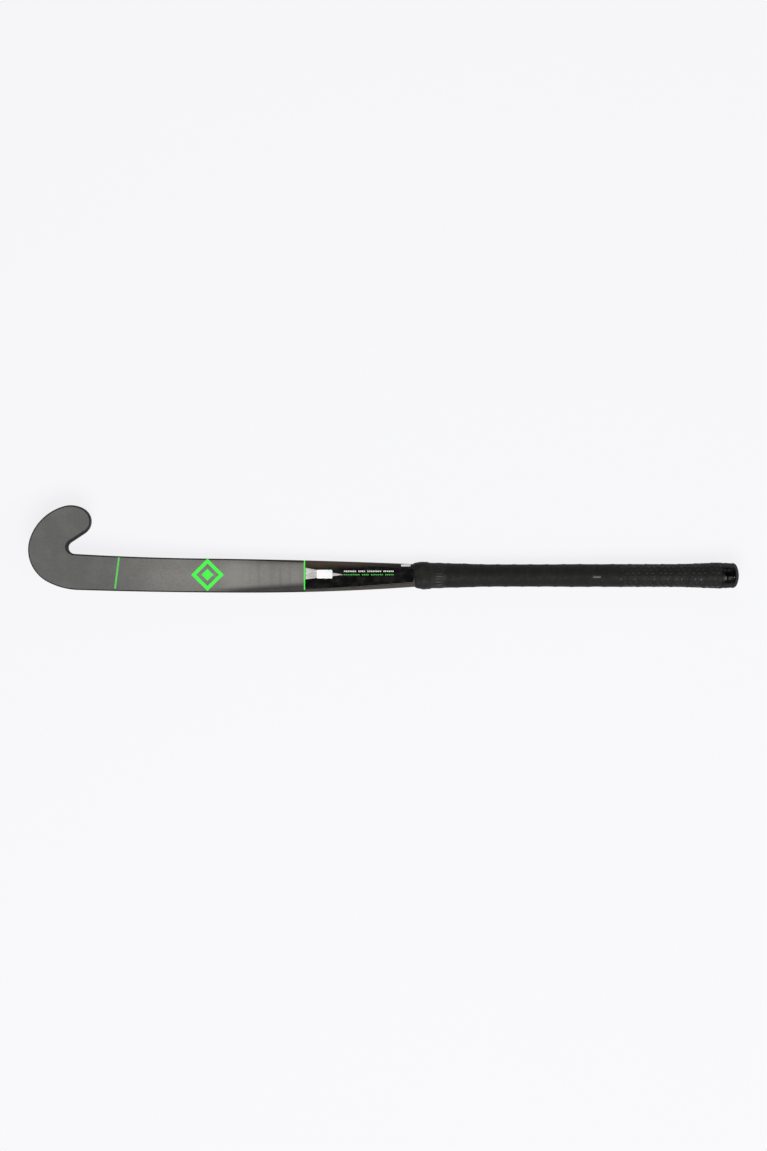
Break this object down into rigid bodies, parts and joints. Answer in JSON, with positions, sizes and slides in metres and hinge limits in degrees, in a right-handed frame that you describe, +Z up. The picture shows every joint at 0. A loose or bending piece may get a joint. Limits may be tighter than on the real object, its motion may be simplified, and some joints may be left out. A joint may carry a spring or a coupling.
{
  "type": "field hockey stick",
  "caption": "Composite field hockey stick with a J-shaped head, bowed shaft, flat playing side, wrapped two-texture grip and domed end cap, lying on its back.",
  "frame": {"origin": "middle of the bounding box in plan, on the surface that the stick lies on", "axes": "+X along the stick from the head to the butt, +Y towards the toe, +Z up, the way the flat playing side faces"},
  "size_m": [0.9263, 0.1141, 0.0505],
  "materials": {
    "coated_laminate": "matte charcoal coat on the lower half, gloss black lacquer towards the grip",
    "bare_laminate": "uncoated fibre laminate",
    "core_foam": "rigid closed-cell foam",
    "adhesive": "tacky adhesive film",
    "collar_tape": "stretched satin finishing tape",
    "smooth_grip": "matte cushioned grip tape, overlapping turns",
    "dimpled_grip": "matte cushioned grip tape with small dimples",
    "end_cap": "glossy black moulding",
    "green_print": "bright green print",
    "silver_print": "silver-grey print",
    "white_print": "white print",
    "grey_print": "grey print on the grip",
    "label_foil": "pale pearlescent foil label"
  },
  "bodies": {
    "root": {"carbon_shell": "coated_laminate", "head_foam_core": "core_foam", "toe_side_tube": "bare_laminate", "heel_side_tube": "bare_laminate", "handle_foam_core": "core_foam", "collar_tape": "collar_tape", "grip_adhesive_layer": "adhesive", "smooth_grip_tape": "smooth_grip", "dimpled_grip_tape": "dimpled_grip", "grip_print_bar": "grey_print", "butt_cap": "end_cap", "lower_pinstripe": "green_print", "upper_pinstripe": "green_print", "emblem_decal": "green_print", "tail_graphic": "silver_print", "blank_label": "label_foil", "white_print_dashes": "white_print", "green_print_dashes": "green_print", "edge_print_bar": "white_print"}
  },
  "joints": []
}
